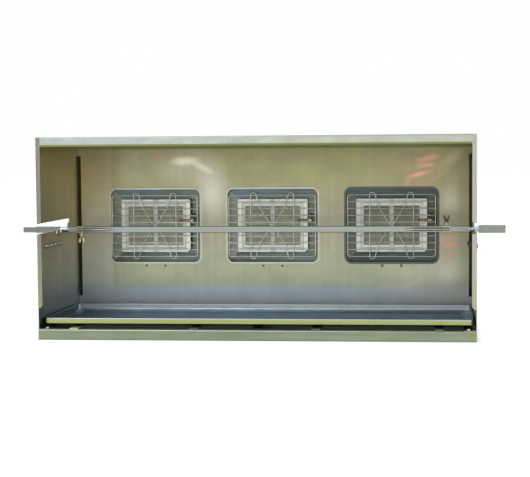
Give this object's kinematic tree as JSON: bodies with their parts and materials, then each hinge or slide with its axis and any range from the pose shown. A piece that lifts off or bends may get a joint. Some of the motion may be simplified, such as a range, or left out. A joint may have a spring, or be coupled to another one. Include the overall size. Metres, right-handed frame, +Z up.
{
  "type": "gas spit rotisserie",
  "caption": "Open-fronted steel roasting cabinet with infrared gas burners on its back wall, a square spit with sliding forks and a drip tray.",
  "frame": {"origin": "centre of the base's footprint, on the floor", "axes": "+X to the right as seen from the open front, +Y towards the back, +Z up"},
  "size_m": [1.473, 0.6275, 0.58],
  "materials": {
    "cabinet_steel": "brushed",
    "panel_steel": "brushed",
    "base_steel": "brushed",
    "cover_steel": "brushed",
    "tray_steel": "brushed",
    "runner_steel": "brushed",
    "support_steel": "brushed",
    "reflector_steel": "satin",
    "frame_steel": "satin",
    "wire_steel": "polished",
    "spit_steel": "satin",
    "fork_steel": "satin",
    "screw_steel": "polished",
    "pipe_steel": "satin",
    "housing_iron": "cast",
    "brass": "satin",
    "copper": "satin",
    "ceramic": "matte",
    "gasket_fibre": "matte",
    "knob_black": "matte"
  },
  "bodies": {
    "cabinet": {"base_frame": "base_steel", "side_panel_left": "cabinet_steel", "side_panel_right": "cabinet_steel", "top_panel": "cabinet_steel", "back_panel": "panel_steel", "rear_cover": "cover_steel", "cover_screws": "screw_steel", "spit_support_left": "support_steel", "spit_support_right": "support_steel", "support_bolts_left": "screw_steel", "support_bolts_right": "screw_steel", "tray_runners": "runner_steel", "base_bolts": "screw_steel", "gas_manifold": "pipe_steel", "manifold_brackets": "pipe_steel", "inlet_fitting": "brass", "burner_screws": "screw_steel", "injectors": "brass", "plaque_gaskets": "gasket_fibre", "thermocouple_leads": "copper", "reflector_left": "reflector_steel", "reflector_centre": "reflector_steel", "reflector_right": "reflector_steel", "burner_housing_left": "housing_iron", "burner_housing_centre": "housing_iron", "burner_housing_right": "housing_iron", "burner_frame_left": "frame_steel", "burner_frame_centre": "frame_steel", "burner_frame_right": "frame_steel", "ceramic_plaques_left": "ceramic", "ceramic_plaques_centre": "ceramic", "ceramic_plaques_right": "ceramic", "burner_guard_left": "wire_steel", "burner_guard_centre": "wire_steel", "burner_guard_right": "wire_steel", "guard_clip_left": "wire_steel", "guard_clip_centre": "wire_steel", "guard_clip_right": "wire_steel", "thermocouple_left": "brass", "thermocouple_centre": "brass", "thermocouple_right": "brass", "tap_body_left": "brass", "tap_body_centre": "brass", "tap_body_right": "brass"},
    "drip_tray": {"drip_tray": "tray_steel"},
    "spit": {"spit_bar": "spit_steel", "spit_drive_sleeve": "spit_steel"},
    "fork_left": {"fork_left": "fork_steel"},
    "fork_right": {"fork_right": "fork_steel"},
    "wing_screw_left": {"wing_screw_left": "screw_steel"},
    "wing_screw_right": {"wing_screw_right": "screw_steel"},
    "tap_plug_left": {"tap_plug_left": "brass"},
    "tap_knob_left": {"tap_spindle_left": "runner_steel", "tap_knob_left": "knob_black"},
    "tap_plug_centre": {"tap_plug_centre": "brass"},
    "tap_knob_centre": {"tap_spindle_centre": "runner_steel", "tap_knob_centre": "knob_black"},
    "tap_plug_right": {"tap_plug_right": "brass"},
    "tap_knob_right": {"tap_spindle_right": "runner_steel", "tap_knob_right": "knob_black"}
  },
  "joints": [
    {"name": "tray_slide", "type": "slide", "parent": "cabinet", "child": "drip_tray", "axis": [0, -1, 0], "range_m": [0, 0.36]},
    {"name": "spit_turn", "type": "hinge", "parent": "cabinet", "child": "spit", "pos_m": [0, 0.02, 0.3], "axis": [1, 0, 0], "continuous": true},
    {"name": "fork_left_slide", "type": "slide", "parent": "spit", "child": "fork_left", "axis": [1, 0, 0], "range_m": [-0.02, 0.43]},
    {"name": "fork_right_slide", "type": "slide", "parent": "spit", "child": "fork_right", "axis": [-1, 0, 0], "range_m": [-0.05, 0.43]},
    {"name": "wing_screw_left_turn", "type": "hinge", "parent": "fork_left", "child": "wing_screw_left", "pos_m": [-0.5735, 0.02, 0.3], "axis": [0, 0, 1], "range_deg": [0, 720]},
    {"name": "wing_screw_right_turn", "type": "hinge", "parent": "fork_right", "child": "wing_screw_right", "pos_m": [0.544, 0.02, 0.3], "axis": [0, 0, 1], "range_deg": [0, 720]},
    {"name": "tap_left_turn", "type": "hinge", "parent": "cabinet", "child": "tap_plug_left", "pos_m": [-0.375, 0.25, 0.105], "axis": [0, 1, 0], "range_deg": [0, 210]},
    {"name": "tap_left_push", "type": "slide", "parent": "tap_plug_left", "child": "tap_knob_left", "axis": [0, -1, 0], "range_m": [0, 0.004], "stiffness_N_per_m": 2000, "springref_m": -0.003},
    {"name": "tap_centre_turn", "type": "hinge", "parent": "cabinet", "child": "tap_plug_centre", "pos_m": [0, 0.25, 0.105], "axis": [0, 1, 0], "range_deg": [0, 210]},
    {"name": "tap_centre_push", "type": "slide", "parent": "tap_plug_centre", "child": "tap_knob_centre", "axis": [0, -1, 0], "range_m": [0, 0.004], "stiffness_N_per_m": 2000, "springref_m": -0.003},
    {"name": "tap_right_turn", "type": "hinge", "parent": "cabinet", "child": "tap_plug_right", "pos_m": [0.375, 0.25, 0.105], "axis": [0, 1, 0], "range_deg": [0, 210]},
    {"name": "tap_right_push", "type": "slide", "parent": "tap_plug_right", "child": "tap_knob_right", "axis": [0, -1, 0], "range_m": [0, 0.004], "stiffness_N_per_m": 2000, "springref_m": -0.003}
  ]
}
